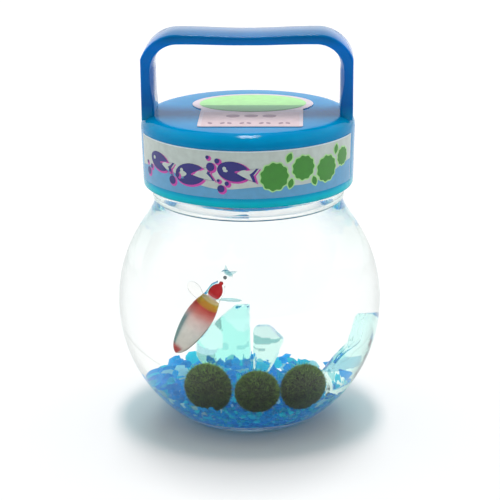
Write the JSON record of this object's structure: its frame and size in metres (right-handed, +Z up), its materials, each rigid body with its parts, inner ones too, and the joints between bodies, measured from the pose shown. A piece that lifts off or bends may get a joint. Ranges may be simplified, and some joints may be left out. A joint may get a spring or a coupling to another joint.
{
  "type": "marimo moss ball jar",
  "caption": "Round lidded glass jar of water that keeps moss balls on blue gravel, with clear ice-like chunks and a small glass figurine.",
  "frame": {"origin": "centre of the flat foot ring under the glass jar, on the surface that it stands on", "axes": "+Z up along the jar's axis; the lid's handle spans X; the label faces -Y"},
  "size_m": [0.0898, 0.0898, 0.1331],
  "materials": {
    "clear_glass": "clear, glossy",
    "blue_plastic": "translucent blue, glossy",
    "white_foam": "matt foamed sheet",
    "label_paper": "coated paper with a plain printed pattern",
    "sticker_paper": "coated paper with a plain printed pattern",
    "water": "clear water",
    "blue_gravel": "coloured glass chips",
    "moss": "dense velvety algae threads",
    "ice_acrylic": "clear pale cyan, polished faces",
    "figurine_glass": "lampworked clear glass with red and yellow inside"
  },
  "bodies": {
    "jar": {"glass_jar": "clear_glass", "water_lower": "water", "water_upper": "water", "gravel_bed": "blue_gravel", "marimo_left": "moss", "marimo_middle": "moss", "marimo_right": "moss", "ice_chunk_left": "ice_acrylic", "ice_chunk_right": "ice_acrylic", "ice_chunk_side": "ice_acrylic", "sea_angel": "figurine_glass"},
    "seal": {"lid_liner": "white_foam"},
    "cap": {"lid": "blue_plastic", "label_band": "label_paper", "top_sticker": "sticker_paper"}
  },
  "joints": [
    {"name": "lid_lift", "type": "slide", "parent": "jar", "child": "seal", "axis": [0, 0, 1], "range_m": [0, 0.004]},
    {"name": "lid_turn", "type": "hinge", "parent": "seal", "child": "cap", "pos_m": [0, 0, 0.094], "axis": [0, 0, 1], "range_deg": [0, 360]}
  ],
  "couplings": [
    {"joint": "lid_lift", "follows": "lid_turn", "m_per_rad": 0.000636}
  ]
}
